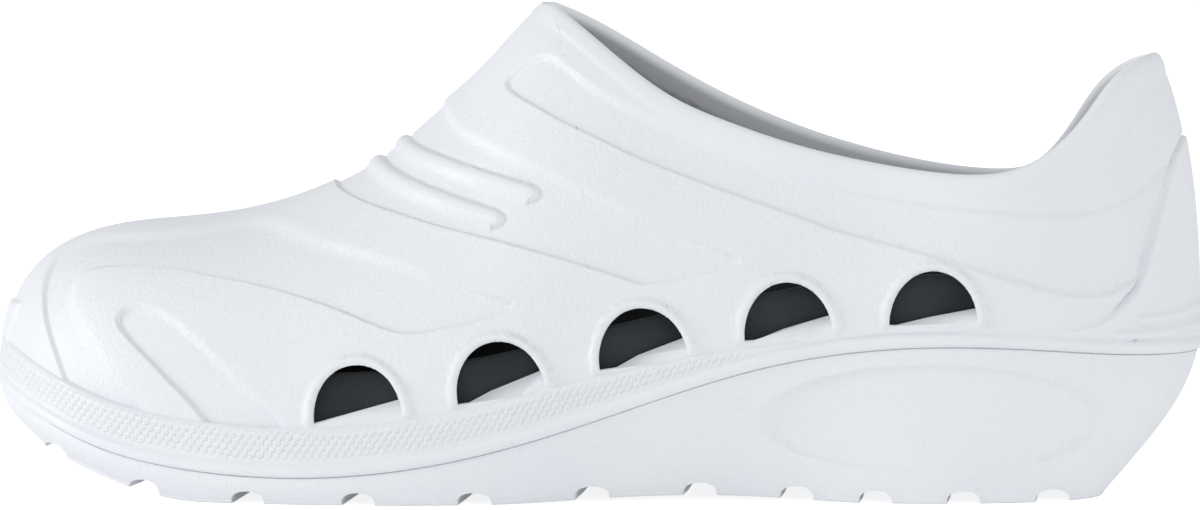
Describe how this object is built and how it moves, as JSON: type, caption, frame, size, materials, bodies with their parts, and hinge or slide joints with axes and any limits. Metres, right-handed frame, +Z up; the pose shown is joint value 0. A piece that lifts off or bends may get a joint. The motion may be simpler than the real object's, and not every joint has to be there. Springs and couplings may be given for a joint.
{
  "type": "chef clog",
  "caption": "Closed moulded work clog with arched side vents, recessed flame panels, a lugged sole and a dark cupped footbed.",
  "frame": {"origin": "on the floor under the middle of the shoe's box", "axes": "+X from toe to heel, -Y to the outer side of the foot, +Z up"},
  "size_m": [0.2872, 0.1088, 0.1146],
  "materials": {
    "upper": "fine grained matt foam, cool white",
    "sole": "smooth satin foam, cool white",
    "insole": "matt charcoal foam"
  },
  "bodies": {
    "root": {"upper": "upper", "sole": "sole", "insole": "insole"}
  },
  "joints": []
}
